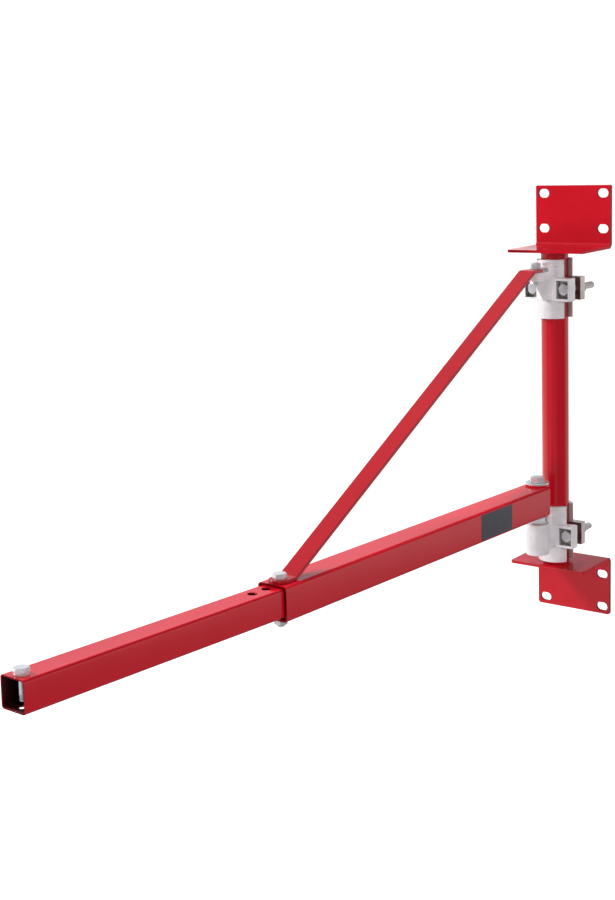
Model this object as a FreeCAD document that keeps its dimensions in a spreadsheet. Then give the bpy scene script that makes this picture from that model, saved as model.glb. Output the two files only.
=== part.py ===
# Wall-mounted swivel hoist arm (small jib crane), millimetres.
# Frame: origin on the wall face of the lower bracket, at the centre of its four slots.
# +X leaves the wall towards the load, +Y to the right when facing the wall mount's arm side, +Z up.
# The arm is drawn in the pose it is usually left in, a little off square to the wall.
import FreeCAD, Part
import os, math
from FreeCAD import Vector, Rotation, Placement

doc = FreeCAD.newDocument("swivel_hoist_arm")
sheet = doc.addObject("Spreadsheet::Sheet", "Sizes")

CELLS = [
    # wall brackets: bent flat steel
    ("plate_wide", 150), ("plate_high", 113), ("leg_deep", 113), ("plate_thick", 5),
    ("bend_inner", 5), ("corner_round", 5), ("corner_tight", 2.5), ("slot_long", 22), ("slot_high", 16),
    ("slot_row", 118), ("slot_col", 63.5), ("slot_edge", 14.25), ("pattern_gap", 710),
    # pole
    ("pole_x", 75), ("pole_dia", 48.3), ("pole_wall", 3.2),
    # clamp castings
    ("collar_bore", 48.4), ("collar_dia", 63.5), ("half_front", 13), ("half_back", 10),
    ("low_base", 73.5), ("low_tall", 105), ("low_ear", 103.5), ("up_base", 525.5), ("up_tall", 105),
    ("up_ear", 557.5), ("ear_tall", 41), ("ear_reach", 48), ("ear_near", 8), ("ear_front", 27),
    ("ear_back_near", 9), ("ear_back_far", 25), ("win_near", 21), ("win_far", 45), ("win_tall", 32),
    ("win_floor", 8), ("clamp_bolt_y", 33), ("clamp_bolt_dia", 12), ("clamp_hole_dia", 13), ("upper_turn", -6),
    # swivel
    ("swivel_x", 145), ("boss_dia", 41.5), ("boss_low", 100.5), ("boss_top", 157.5), ("web_thick", 19),
    ("web_top", 163), ("pin_dia", 16), ("pin_hole_dia", 16.1), ("sleeve_dia", 42), ("lock_nut_tall", 10.8), ("sleeve_top", 231),
    ("lug_top", 612.8), ("lug_low", 597), ("lug_half", 16), ("rib_low", 619), ("rib_top", 626.5), ("rib_reach", 52.5),
    ("stud_dia", 10), ("stud_hole_dia", 10.1),
    # arm
    ("swing_rest", -1.83), ("outer_pitch", 1.055), ("inner_pitch", 2.148),
    ("outer_side", 53), ("outer_wall", 3), ("outer_round", 5.5), ("outer_len", 738), ("outer_z", 200.95),
    ("inner_side", 43.5), ("inner_wall", 2), ("inner_round", 4.5), ("inner_back", 592), ("inner_tip", 1212),
    ("mouth_z", 215.6), ("lock_x", 720.5), ("hole_pitch", 30.3), ("lock_dia", 12), ("lock_hole", 14.6),
    ("stop_back", 14.6), ("stop_dia", 8), ("stop_tap", 8.1), ("stop_hole", 11),
    # brace
    ("strap_wide", 32), ("strap_thick", 5), ("tab_low", 613.3), ("tab_back", 10), ("strap_bend", 27.5), ("foot_bend", 700),
]
for i, (name, value) in enumerate(CELLS, start=1):
    sheet.set("A%d" % i, name)
    sheet.set("B%d" % i, str(value))
    sheet.setAlias("B%d" % i, name)
doc.recompute()
S = lambda name: float(sheet.get(name))


def ex(text):
    """Expression text with every cell alias prefixed by the sheet's name."""
    out, word = "", ""
    names = {n for n, _ in CELLS}
    for ch in str(text) + " ":
        if ch.isalnum() or ch == "_":
            word += ch
        else:
            out += ("Sizes." + word if word in names else word) + ch
            word = ""
    return out.strip()


def cell_value(text):
    """Number that an expression of sheet cells gives."""
    obj = doc.getObject("Probe") or doc.addObject("Part::Box", "Probe")
    obj.setExpression("Placement.Base.x", ex(text))
    obj.recompute()
    return obj.Placement.Base.x


def box(name, size, at):
    o = doc.addObject("Part::Box", name)
    for prop, e in zip(("Length", "Width", "Height"), size):
        o.setExpression(prop, ex(e))
    for prop, e in zip("xyz", at):
        o.setExpression("Placement.Base." + prop, ex(e))
    return o


def cyl(name, dia, tall, at, axis="z"):
    o = doc.addObject("Part::Cylinder", name)
    if axis == "x":
        o.Placement.Rotation = Rotation(Vector(0, 1, 0), 90)
    elif axis == "y":
        o.Placement.Rotation = Rotation(Vector(1, 0, 0), -90)
    o.setExpression("Radius", ex("(%s) / 2" % dia))
    o.setExpression("Height", ex(tall))
    for prop, e in zip("xyz", at):
        o.setExpression("Placement.Base." + prop, ex(e))
    return o


def hexa(name, flats, tall, at, axis="z", turn=0.0):
    """Hexagonal prism from a regular polygon."""
    p = doc.addObject("Part::RegularPolygon", name + "_outline")
    p.Polygon = 6
    p.setExpression("Circumradius", ex("(%s) / (2 * cos(30))" % flats))
    e = doc.addObject("Part::Extrusion", name)
    e.Base = p
    e.DirMode = "Custom"
    e.Dir = Vector(0, 0, 1)
    e.Solid = True
    e.setExpression("LengthFwd", ex(tall))
    rot = Rotation(Vector(0, 0, 1), turn)
    if axis == "x":
        rot = Rotation(Vector(0, 1, 0), 90) * rot
    elif axis == "-x":
        rot = Rotation(Vector(0, 1, 0), -90) * rot
    e.Placement = Placement(Vector(0, 0, 0), rot)
    for prop, q in zip("xyz", at):
        e.setExpression("Placement.Base." + prop, ex(q))
    return e


def fuse(name, parts):
    o = doc.addObject("Part::MultiFuse", name)
    o.Shapes = parts
    o.Refine = True
    return o


def cut(name, base, tools):
    o = doc.addObject("Part::Cut", name)
    o.Base = base
    o.Tool = tools[0] if len(tools) == 1 else fuse(name + "_tools", tools)
    o.Refine = True
    return o


def common(name, a, b):
    o = doc.addObject("Part::MultiCommon", name)
    o.Shapes = [a, b]
    o.Refine = True
    return o


def plane(body, role):
    return [f for f in body.Origin.OriginFeatures if f.Role == role][0]


def polygon(body, name, role, pts):
    """Closed outline; every corner is dimensioned from the origin to sheet cells."""
    import Sketcher
    sk = body.newObject("Sketcher::SketchObject", name)
    sk.AttachmentSupport = [(plane(body, role), "")]
    sk.MapMode = "FlatFace"
    num = [(cell_value(a), cell_value(b)) for a, b in pts]
    n = len(num)
    for i in range(n):
        a, b = num[i], num[(i + 1) % n]
        sk.addGeometry(Part.LineSegment(Vector(a[0], a[1], 0), Vector(b[0], b[1], 0)), False)
    for i in range(n):
        sk.addConstraint(Sketcher.Constraint("Coincident", i, 2, (i + 1) % n, 1))
    for i, (e, v) in enumerate(zip(pts, num)):
        for k, kind, line in ((0, "DistanceX", -2), (1, "DistanceY", -1)):
            if abs(v[k]) < 1e-9:
                sk.addConstraint(Sketcher.Constraint("PointOnObject", i, 1, line))
            else:
                c = sk.addConstraint(Sketcher.Constraint(kind, -1, 1, i, 1, v[k]))
                sk.setExpression("Constraints[%d]" % c, ex(e[k]))
    return sk


def pad(body, sketch, length, mid=True):
    p = body.newObject("PartDesign::Pad", sketch.Name + "_pad")
    p.Profile = sketch
    if mid:
        try:
            p.SideType = "Symmetric"
        except Exception:
            p.Midplane = True
    p.setExpression("Length", ex(length))
    doc.recompute()
    return p


def pocket_through(body, sketch, length):
    p = body.newObject("PartDesign::Pocket", sketch.Name + "_pocket")
    p.Profile = sketch
    try:
        p.SideType = "Symmetric"
    except Exception:
        p.Midplane = True
    p.setExpression("Length", ex(length))
    doc.recompute()
    return p


def edges_where(shape, test):
    out = []
    for i, e in enumerate(shape.Edges, start=1):
        if test(e):
            out.append("Edge%d" % i)
    return out


def fillet(body, base, test, radius, name):
    names = edges_where(base.Shape, test)
    assert names, "no edge found for " + name
    f = body.newObject("PartDesign::Fillet", name)
    f.Base = (base, names)
    f.setExpression("Radius", ex(radius))
    doc.recompute()
    return f


def line_dir(e):
    if e.Curve.TypeId != "Part::GeomLine":
        return Vector(0, 0, 0)
    d = e.Vertexes[-1].Point - e.Vertexes[0].Point
    return d.normalize() if d.Length > 1e-9 else d


def near(a, b, tol=0.02):
    return abs(a - b) < tol


NODES = []


def node(obj, name, swing=False):
    obj.Label = name
    if swing:
        obj.Placement = Placement(Vector(S("swivel_x"), 0, 0), Rotation(Vector(0, 0, 1), S("swing_rest")))
    NODES.append(obj)
    return obj


# ---------------------------------------------------------------- wall brackets
def wall_bracket(tag, outline, leg_z, free_z, centre_z):
    body = doc.addObject("PartDesign::Body", tag + "_bent_plate")
    sk = polygon(body, tag + "_outline", "XZ_Plane", outline)
    f = pad(body, sk, "plate_wide")
    lo = cell_value(leg_z[0])
    hi = cell_value(leg_z[1])
    t = S("plate_thick")
    inner_z = lo if tag == "lower" else hi
    outer_z = hi if tag == "lower" else lo
    f = fillet(body, f, lambda e: abs(line_dir(e).y) > 0.99 and near(e.Vertexes[0].X, t) and near(e.Vertexes[0].Z, inner_z),
               "bend_inner", tag + "_bend_inside")
    f = fillet(body, f, lambda e: abs(line_dir(e).y) > 0.99 and near(e.Vertexes[0].X, 0) and near(e.Vertexes[0].Z, outer_z),
               "bend_inner + plate_thick", tag + "_bend_outside")
    end_z = cell_value(free_z)
    deep = S("leg_deep")
    f = fillet(body, f, lambda e: (abs(line_dir(e).x) > 0.99 and near(e.Vertexes[0].Z, end_z)) or
               (abs(line_dir(e).z) > 0.99 and near(e.Vertexes[0].X, deep)), "corner_round" if tag == "lower" else "corner_tight", tag + "_corners")
    body.Tip = f
    tools = []
    for sy in (-1, 1):
        for sz in (-1, 1):
            k = "%s_slot_%s%s" % (tag, "ab"[sy > 0], "ab"[sz > 0])
            y = "%d * slot_row / 2" % sy
            z = "%s + %d * slot_col / 2" % (centre_z, sz)
            tools.append(box(k + "_mid", ("plate_thick * 4", "slot_long - slot_high", "slot_high"),
                             ("-plate_thick", "%s - (slot_long - slot_high) / 2" % y, "%s - slot_high / 2" % z)))
            for s2 in (-1, 1):
                tools.append(cyl(k + "_end" + "ab"[s2 > 0], "slot_high", "plate_thick * 4",
                                 ("-plate_thick", "%s + %d * (slot_long - slot_high) / 2" % (y, s2), z), "x"))
    return cut(tag + "_bracket_slotted", body, tools)


low_leg = ("plate_high - slot_edge - slot_col / 2 - plate_thick", "plate_high - slot_edge - slot_col / 2")
low_free = "-(slot_edge + slot_col / 2)"
node(wall_bracket("lower", [("0", low_free), ("plate_thick", low_free), ("plate_thick", low_leg[0]), ("leg_deep", low_leg[0]),
                            ("leg_deep", low_leg[1]), ("0", low_leg[1])], low_leg, low_free, "0"), "lower_wall_bracket")
up_leg = ("pattern_gap - (plate_high - slot_edge - slot_col / 2)",
          "pattern_gap - (plate_high - slot_edge - slot_col / 2) + plate_thick")
up_free = "pattern_gap + slot_edge + slot_col / 2"
node(wall_bracket("upper", [("0", up_leg[0]), ("leg_deep", up_leg[0]), ("leg_deep", up_leg[1]), ("plate_thick", up_leg[1]),
                            ("plate_thick", up_free), ("0", up_free)], up_leg, up_free, "pattern_gap"), "upper_wall_bracket")

# ---------------------------------------------------------------- pole between the two legs
pole_len = "(%s) - (%s)" % (up_leg[0], low_leg[1])
node(cut("pole_tube", cyl("pole_outer", "pole_dia", pole_len, ("pole_x", "0", low_leg[1])),
         [cyl("pole_bore", "pole_dia - 2 * pole_wall", pole_len, ("pole_x", "0", low_leg[1]))]), "pole")


# ---------------------------------------------------------------- clamp halves
def clamp(tag, base, tall, ear):
    """Two half castings drawn round the pole, with ears at the sides for two bolts."""
    big = "collar_dia + 80"

    def ring(side):
        o = cyl("%s_%s_ring" % (tag, side), "collar_dia", tall, ("pole_x", "0", base))
        half = box("%s_%s_half" % (tag, side), (big, big, "%s + 20" % tall),
                   ("pole_x + half_front" if side == "front" else "pole_x - half_back - (%s)" % big,
                    "-(%s) / 2" % big, "%s - 10" % base))
        shell = common("%s_%s_shell" % (tag, side), o, half)
        if side == "back":
            return shell
        # the collar is flat between the ears, so that the ears' front face runs on across it
        flat = box("%s_front_flat" % tag, ("20", big, "ear_tall"), ("pole_x + ear_front - 0.5", "-(%s) / 2" % big, ear))
        return cut("%s_front_shell_flat" % tag, shell, [flat])

    def ears(side):
        if side == "front":
            wide, x = "ear_front - ear_near", "pole_x + ear_near"
        else:
            wide, x = "ear_back_far - ear_back_near", "pole_x - ear_back_far"
        b = box("%s_%s_ear_block" % (tag, side), (wide, "2 * ear_reach", "ear_tall"), (x, "-ear_reach", ear))
        doc.recompute()
        fl = doc.addObject("Part::Fillet", "%s_%s_ear_rounded" % (tag, side))
        fl.Base = b
        x_out = S("pole_x") + S("ear_front") if side == "front" else S("pole_x") - S("ear_back_far")
        fl.Edges = [(i, 3.0, 3.0) for i, e in enumerate(b.Shape.Edges, start=1)
                    if abs(line_dir(e).z) > 0.99 and near(e.Vertexes[0].X, x_out)]
        return fl

    def bore(side):
        return cyl("%s_%s_bore" % (tag, side), "collar_bore", "%s + 20" % tall, ("pole_x", "0", "%s - 10" % base))

    def bolt_holes(side):
        return [cyl("%s_%s_hole_%s" % (tag, side, "ab"[s > 0]), "clamp_hole_dia", "120",
                    ("pole_x - 60", "%d * clamp_bolt_y" % s, "%s + ear_tall / 2" % ear), "x") for s in (-1, 1)]

    def windows():
        return [box("%s_window_%s" % (tag, "ab"[s > 0]), ("40", "win_far - win_near", "win_tall"),
                    ("pole_x + ear_near + win_floor", "win_near" if s > 0 else "-win_far",
                     "%s + (ear_tall - win_tall) / 2" % ear)) for s in (-1, 1)]

    def turned(obj):
        """The upper clamp's ears are not quite square to the wall: turned a little about the pole."""
        if tag == "upper":
            obj.Placement = Placement(Vector(0, 0, 0), Rotation(Vector(0, 0, 1), S("upper_turn")), Vector(S("pole_x"), 0, 0))
        return obj

    front_extra, front_cut = [], []
    if tag == "lower":
        boss = cyl("boss", "boss_dia", "boss_top - boss_low", ("swivel_x", "0", "boss_low"))
        web = box("boss_web", ("swivel_x - pole_x - collar_bore / 2 - 2", "web_thick", "boss_top - boss_low"),
                  ("pole_x + collar_bore / 2 + 2", "-web_thick / 2", "boss_low"))
        crest = box("boss_crest", ("swivel_x - boss_dia / 2 - pole_x - collar_bore / 2 - 1", "web_thick", "web_top - boss_low"),
                    ("pole_x + collar_bore / 2 + 2", "-web_thick / 2", "boss_low"))
        front_extra = [boss, web, crest]
        front_cut = [cyl("boss_hole", "pin_hole_dia", "200", ("swivel_x", "0", "boss_low - 20"))]
    else:
        lug = box("lug_plate", ("swivel_x - pole_x - collar_bore / 2 - 2", "2 * lug_half", "lug_top - lug_low"),
                  ("pole_x + collar_bore / 2 + 2", "-lug_half", "lug_low"))
        nose = cyl("lug_nose", "2 * lug_half", "lug_top - lug_low", ("swivel_x", "0", "lug_low"))
        rib = box("lug_rib", ("rib_reach - collar_bore / 2 - 2", "2 * lug_half", "rib_low - lug_low + 1"),
                  ("pole_x + collar_bore / 2 + 2", "-lug_half", "lug_low"))
        # short hipped rib over the brace's rounded end
        low = doc.addObject("Part::Polygon", "rib_eaves")
        low.Nodes = [Vector(S("pole_x") + x, y, S("rib_low")) for x, y in ((25, -21), (58.5, -10), (58.5, 10), (25, 21))]
        low.Close = True
        high = doc.addObject("Part::Polygon", "rib_ridge")
        high.Nodes = [Vector(S("pole_x") + x, y, S("rib_top")) for x, y in ((25, -5), (50, -2), (50, 2), (25, 5))]
        high.Close = True
        hip = doc.addObject("Part::Loft", "rib_hip")
        hip.Sections = [low, high]
        hip.Solid = True
        hip.Ruled = True
        top = doc.addObject("Part::Polygon", "gusset_top")
        top.Nodes = [Vector(S("pole_x") + 25, -16, S("lug_low") + 0.5), Vector(S("swivel_x") + 8, 0, S("lug_low") + 0.5),
                     Vector(S("pole_x") + 25, 16, S("lug_low") + 0.5)]
        top.Close = True
        foot = doc.addObject("Part::Polygon", "gusset_foot")
        foot.Nodes = [Vector(S("pole_x") + 25, -7, S("up_ear") + 1), Vector(S("pole_x") + 42, 0, S("up_ear") + 1),
                      Vector(S("pole_x") + 25, 7, S("up_ear") + 1)]
        foot.Close = True
        gusset = doc.addObject("Part::Loft", "gusset")
        gusset.Sections = [top, foot]
        gusset.Solid = True
        gusset.Ruled = True
        front_extra = [lug, nose, rib, hip, gusset]
        front_cut = [cyl("lug_hole", "stud_hole_dia", "lug_top - lug_low + 8", ("swivel_x", "0", "lug_low - 8"))]
    front_half = turned(cut(tag + "_front_half_cut", fuse(tag + "_front_half", [ring("front"), ears("front")]),
                            bolt_holes("front") + windows()))
    front = cut(tag + "_front_casting", fuse(tag + "_front_raw", [front_half] + front_extra), [bore("front")] + front_cut)
    back = turned(cut(tag + "_back_casting", fuse(tag + "_back_raw", [ring("back"), ears("back")]),
                      [bore("back")] + bolt_holes("back")))
    node(front, tag + "_clamp_front")
    node(back, tag + "_clamp_back")
    # two clamp bolts: heads in the front recesses, washers and nuts on the back ears
    for s, side in ((-1, "left"), (1, "right")):
        y = "%d * clamp_bolt_y" % s
        z = "%s + ear_tall / 2" % ear
        seat = "pole_x + ear_near + win_floor"
        shank = cyl("%s_%s_shank" % (tag, side), "clamp_bolt_dia", "ear_near + win_floor + 70", ("pole_x - 70", y, z), "x")
        head = hexa("%s_%s_head" % (tag, side), "19", "7.5", (seat, y, z), "x", 0)
        node(turned(fuse("%s_%s_bolt" % (tag, side), [shank, head])), "%s_clamp_bolt_%s" % (tag, side))
        wx = "pole_x - ear_back_far - 2.5"
        node(turned(cut("%s_%s_washer" % (tag, side), cyl("%s_%s_disc" % (tag, side), "24", "2.5", (wx, y, z), "x"),
                        [cyl("%s_%s_disc_bore" % (tag, side), "clamp_bolt_dia + 0.8", "10", ("pole_x - ear_back_far - 6", y, z), "x")])),
             "%s_clamp_washer_%s" % (tag, side))
        node(turned(cut("%s_%s_nut" % (tag, side), hexa("%s_%s_nut_hex" % (tag, side), "19", "10", ("pole_x - ear_back_far - 12.5", y, z), "x", 30),
                        [cyl("%s_%s_nut_bore" % (tag, side), "clamp_bolt_dia + 0.1", "20", ("pole_x - ear_back_far - 17", y, z), "x")])),
             "%s_clamp_nut_%s" % (tag, side))


clamp("lower", "low_base", "low_tall", "low_ear")
clamp("upper", "up_base", "up_tall", "up_ear")

# ---------------------------------------------------------------- lower swivel: bolt screwed and locked into the boss
thrust_top = "boss_top + lock_nut_tall + 3"
sleeve_low = "boss_top + lock_nut_tall + 3 + 0.3"
sleeve_top = "sleeve_top"
head_low = "sleeve_top + 3.3"
node(fuse("swivel_bolt", [cyl("swivel_shank", "pin_dia", "(%s) - boss_low - 1" % head_low, ("swivel_x", "0", "boss_low + 1")),
                          hexa("swivel_head", "24", "9.5", ("swivel_x", "0", head_low), "z", 38)]), "swivel_bolt")
node(cut("swivel_lock_nut_cut", hexa("swivel_nut_hex", "24", "lock_nut_tall", ("swivel_x", "0", "boss_top"), "z", 20),
         [cyl("swivel_nut_bore", "pin_hole_dia", "30", ("swivel_x", "0", "boss_top - 5"))]), "swivel_lock_nut")
node(cut("thrust_washer_cut", cyl("thrust_disc", "30", "3", ("swivel_x", "0", "boss_top + lock_nut_tall")),
         [cyl("thrust_bore", "pin_dia + 1", "10", ("swivel_x", "0", "boss_top + 7"))]), "swivel_thrust_washer")

# ---------------------------------------------------------------- swinging arm, drawn along +X from the swivel axis
node(cut("sleeve_cut", cyl("sleeve_body", "sleeve_dia", "(%s) - (%s)" % (sleeve_top, sleeve_low), ("0", "0", sleeve_low)),
         [cyl("sleeve_bore", "pin_hole_dia", "120", ("0", "0", "140"))]), "swivel_sleeve", True)
node(cut("top_washer_cut", cyl("top_disc", "sleeve_dia", "3", ("0", "0", sleeve_top)),
         [cyl("top_disc_bore", "pin_dia + 1", "10", ("0", "0", "%s - 3" % sleeve_top))]), "swivel_top_washer", True)


def square_tube(tag, side, wall, rnd, start, end):
    body = doc.addObject("PartDesign::Body", tag + "_box_section")
    sk = polygon(body, tag + "_section", "YZ_Plane", [("-%s / 2" % side, "-%s / 2" % side), ("%s / 2" % side, "-%s / 2" % side),
                                                    ("%s / 2" % side, "%s / 2" % side), ("-%s / 2" % side, "%s / 2" % side)])
    # the pad starts on the section plane; the body is shifted by its own placement
    f = pad(body, sk, "%s - %s" % (end, start), mid=False)
    along = lambda e: abs(line_dir(e).x) > 0.99
    f = fillet(body, f, along, rnd, tag + "_outer_corners")
    sk2 = polygon(body, tag + "_hollow", "YZ_Plane",
                  [("-(%s / 2 - %s)" % (side, wall), "-(%s / 2 - %s)" % (side, wall)), ("%s / 2 - %s" % (side, wall), "-(%s / 2 - %s)" % (side, wall)),
                   ("%s / 2 - %s" % (side, wall), "%s / 2 - %s" % (side, wall)), ("-(%s / 2 - %s)" % (side, wall), "%s / 2 - %s" % (side, wall))])
    before = f.Shape.Volume
    f = pocket_through(body, sk2, "3 * %s" % end)
    assert f.Shape.Volume < 0.5 * before, "hollow not cut"
    inner = S(side) / 2 - S(wall)
    f = fillet(body, f, lambda e: along(e) and near(abs(e.Vertexes[0].Y), inner) and near(abs(e.Vertexes[0].Z), inner),
               "%s - %s" % (rnd, wall), tag + "_inner_corners")
    body.Tip = f
    return body


doc.recompute()
outer_raw = square_tube("outer", "outer_side", "outer_wall", "outer_round", "0", "outer_len")
outer_raw.Placement = Placement(Vector(0, 0, S("outer_z")), Rotation(Vector(0, 1, 0), -S("outer_pitch")))
inner_raw = square_tube("inner", "inner_side", "inner_wall", "inner_round", "inner_back", "inner_tip")
pi_ = math.radians(S("inner_pitch"))
po_ = math.radians(S("outer_pitch"))
mouth_s = S("outer_len") * math.cos(po_)
# the inner tube's axis passes through the mouth at mouth_z and is shifted back to its rear end
back_s = S("inner_back")
back_z = S("mouth_z") - (mouth_s - back_s) * math.tan(pi_)
inner_raw.Placement = Placement(Vector(back_s, 0, back_z), Rotation(Vector(0, 1, 0), -S("inner_pitch")))


def in_tube(name, dia, s, half, raw_at, pitch):
    """Cylinder square to a pitched tube, at s along the arm, centred on the tube's axis."""
    o = doc.addObject("Part::Cylinder", name)
    o.setExpression("Radius", ex("(%s) / 2" % dia))
    o.Height = 2 * half
    rot = Rotation(Vector(0, 1, 0), -pitch)
    z = raw_at[1] + (s - raw_at[0]) * math.tan(math.radians(pitch))
    c = Vector(s, 0, z)
    o.Placement = Placement(c - rot.multVec(Vector(0, 0, half)), rot)
    return o, c, rot


lock_s = S("lock_x")
outer_at = (0.0, S("outer_z"))
inner_at = (back_s, back_z)
hole_o, lock_c, rot_o = in_tube("lock_hole_outer", "lock_hole", lock_s, 60, outer_at, S("outer_pitch"))
cope = cyl("sleeve_cope", "sleeve_dia", "200", ("0", "0", "100"))
node(cut("outer_tube_cut", outer_raw, [hole_o, cope]), "arm_outer_tube", True)
inner_holes = []
for i in range(3):
    h, c, r = in_tube("inner_hole_%s" % "abc"[i], "lock_hole", lock_s + i * S("hole_pitch") * math.cos(pi_), 60, inner_at, S("inner_pitch"))
    inner_holes.append(h)
stop_s = back_s + (S("inner_tip") - S("inner_back") - S("stop_back")) * math.cos(pi_)
# the end stop's hole is close fitting in the top wall and open in the bottom wall
stop_hole, stop_c, rot_i = in_tube("stop_hole_inner", "stop_tap", stop_s, 30, inner_at, S("inner_pitch"))
drain = doc.addObject("Part::Cylinder", "stop_hole_below")
drain.setExpression("Radius", ex("stop_hole / 2"))
drain.Height = 30
drain.Placement = Placement(stop_c - rot_i.multVec(Vector(0, 0, 30)), rot_i)
node(cut("inner_tube_cut", inner_raw, inner_holes + [stop_hole, drain]), "arm_inner_tube", True)

# ---------------------------------------------------------------- brace: one bent flat bar
t = S("strap_thick")
strap_body = doc.addObject("PartDesign::Body", "strap_bar")
foot_low = S("outer_z") + S("outer_side") / 2 / math.cos(po_) + S("foot_bend") * math.tan(po_)
slope = math.atan2(foot_low - S("tab_low"), S("foot_bend") - S("strap_bend"))
# corner points of the bar's edge view: underside and top side of tab, run and foot
k1 = t * math.tan(-slope / 2)
k2 = t * math.tan((po_ - slope) / 2)
tip_r = S("strap_wide") / 2
foot_end_s = S("lock_x") + tip_r
foot_end_z = foot_low + (foot_end_s - S("foot_bend")) * math.tan(po_)
up = Vector(-math.sin(po_) * t, 0, math.cos(po_) * t)
pts = [(-S("tab_back"), S("tab_low")), (S("strap_bend"), S("tab_low")), (S("foot_bend"), foot_low), (foot_end_s, foot_end_z),
       (foot_end_s + up.x, foot_end_z + up.z),
       (S("foot_bend") + up.x + k2 * math.cos(po_), foot_low + up.z + k2 * math.sin(po_)),
       (S("strap_bend") + k1, S("tab_low") + t), (-S("tab_back"), S("tab_low") + t)]
sk = polygon(strap_body, "strap_edge_view", "XZ_Plane", [("%.5f" % a, "%.5f" % b) for a, b in pts])
f = pad(strap_body, sk, "strap_wide")
acr = lambda e: abs(line_dir(e).y) > 0.99


def at_xz(e, p, tol=0.05):
    return near(e.Vertexes[0].X, p[0], tol) and near(e.Vertexes[0].Z, p[1], tol)


f = fillet(strap_body, f, lambda e: acr(e) and (at_xz(e, pts[1]) or at_xz(e, pts[5])), "6", "strap_bend_inside")
f = fillet(strap_body, f, lambda e: acr(e) and (at_xz(e, pts[2]) or at_xz(e, pts[6])), "6 + strap_thick", "strap_bend_outside")
f = fillet(strap_body, f, lambda e: not acr(e) and e.Length < 1.3 * t and near(abs(e.Vertexes[0].Y), S("strap_wide") / 2)
           and abs(line_dir(e).z) > 0.9 and (near(e.Vertexes[0].X, -S("tab_back"), 0.3) or near(e.Vertexes[0].X, foot_end_s, 0.3)),
           "strap_wide / 2 - 0.1", "strap_round_ends")
strap_body.Tip = f
hole_s, _, _ = in_tube("strap_foot_hole", "lock_hole", lock_s, 60, outer_at, S("outer_pitch"))
node(cut("strap_cut", strap_body, [hole_s, cyl("strap_tab_hole", "stud_hole_dia", "60", ("0", "0", "tab_low - 20"))]), "brace_strap", True)

# stud, washer and nut that hold the brace's top tab on the lug
node(cyl("brace_stud_rod", "stud_dia", "630 - lug_low + 6", ("swivel_x", "0", "lug_low - 6")), "brace_stud")
node(cut("brace_washer_cut", cyl("brace_disc", "20", "2", ("swivel_x", "0", "tab_low + strap_thick + 0.3")),
         [cyl("brace_disc_bore", "stud_dia + 0.6", "10", ("swivel_x", "0", "tab_low"))]), "brace_washer")
node(cut("brace_nut_cut", hexa("brace_nut_hex", "16", "8", ("swivel_x", "0", "tab_low + strap_thick + 2.3"), "z", 10),
         [cyl("brace_nut_bore", "stud_hole_dia", "30", ("swivel_x", "0", "tab_low"))]), "brace_nut")


# ---------------------------------------------------------------- lock bolt through foot and both tubes
def placed_on(axis_c, rot, obj, up_dist, swing=True):
    """Moves an object drawn on the origin's Z axis onto the bolt line, up_dist above the tube's axis."""
    obj.Placement = Placement(axis_c + rot.multVec(Vector(0, 0, up_dist)), rot * obj.Placement.Rotation)
    return obj


def hex_raw(name, flats, tall, turn):
    return hexa(name, flats, tall, ("0", "0", "0"), "z", turn)


def on_line(obj):
    for prop in "xyz":
        obj.setExpression("Placement.Base." + prop, None)
    return obj


half = S("outer_side") / 2
lock_shank = on_line(cyl("lock_shank", "lock_dia", "%.3f" % (2 * half + t + 14), ("0", "0", "0")))
placed_on(lock_c, rot_o, lock_shank, -half - 14)
lock_head = on_line(hex_raw("lock_head", "19", "8", 40))
placed_on(lock_c, rot_o, lock_head, half + t)
node(fuse("lock_bolt_fused", [lock_shank, lock_head]), "lock_bolt", True)
lock_nut = on_line(hex_raw("lock_nut_hex", "19", "10", 5))
placed_on(lock_c, rot_o, lock_nut, -half - 10)
lock_nut_bore = on_line(cyl("lock_nut_bore", "lock_dia + 0.1", "20", ("0", "0", "0")))
placed_on(lock_c, rot_o, lock_nut_bore, -half - 15)
node(cut("lock_nut_cut", lock_nut, [lock_nut_bore]), "lock_nut", True)

# ---------------------------------------------------------------- end stop near the tip
hi_ = S("inner_side") / 2
stop_shank = on_line(cyl("stop_shank", "stop_dia", "35.6", ("0", "0", "0")))
placed_on(stop_c, rot_i, stop_shank, hi_ + 2 - 35.6)
stop_head = on_line(hex_raw("stop_head", "19", "7.2", 10))
placed_on(stop_c, rot_i, stop_head, hi_ + 2)
node(fuse("stop_bolt_fused", [stop_shank, stop_head]), "end_stop_bolt", True)
stop_disc = on_line(cyl("stop_disc", "20", "2", ("0", "0", "0")))
placed_on(stop_c, rot_i, stop_disc, hi_)
stop_bore = on_line(cyl("stop_disc_bore", "stop_dia + 0.6", "10", ("0", "0", "0")))
placed_on(stop_c, rot_i, stop_bore, hi_ - 4)
node(cut("stop_washer_cut", stop_disc, [stop_bore]), "end_stop_washer", True)
stop_nut = on_line(hex_raw("stop_nut_hex", "13", "4", 0))
placed_on(stop_c, rot_i, stop_nut, hi_ - S("inner_wall") - 4)
stop_nut_bore = on_line(cyl("stop_nut_bore", "stop_dia + 0.1", "20", ("0", "0", "0")))
placed_on(stop_c, rot_i, stop_nut_bore, hi_ - S("inner_wall") - 14)
node(cut("stop_nut_cut", stop_nut, [stop_nut_bore]), "end_stop_nut", True)

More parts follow.
